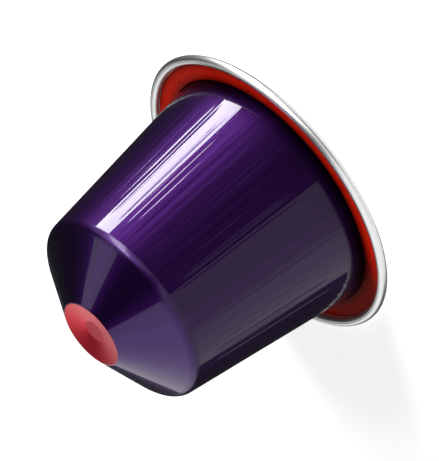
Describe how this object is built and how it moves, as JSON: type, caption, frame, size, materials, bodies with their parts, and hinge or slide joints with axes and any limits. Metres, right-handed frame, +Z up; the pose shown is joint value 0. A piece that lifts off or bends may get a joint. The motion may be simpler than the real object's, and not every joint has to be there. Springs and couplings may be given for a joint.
{
  "type": "coffee pod",
  "caption": "Sealed coffee pod: a drawn aluminium cup with a rolled rim, a sloping cone and a dimpled nose, with a seal ring on its flange and a foil lid.",
  "frame": {"origin": "centre of the lid's underside", "axes": "+Z up along the pod's axis, from the lid to the nose"},
  "size_m": [0.037, 0.037, 0.0285],
  "materials": {
    "lacquered_aluminium": "glossy tinted lacquer on drawn aluminium, with faint drawing lines along the wall",
    "seal_rubber": "glossy",
    "lid_foil": "satin rolled foil"
  },
  "bodies": {
    "root": {"sealed_cup": "lacquered_aluminium", "seal_ring": "seal_rubber", "foil_lid": "lid_foil"}
  },
  "joints": []
}
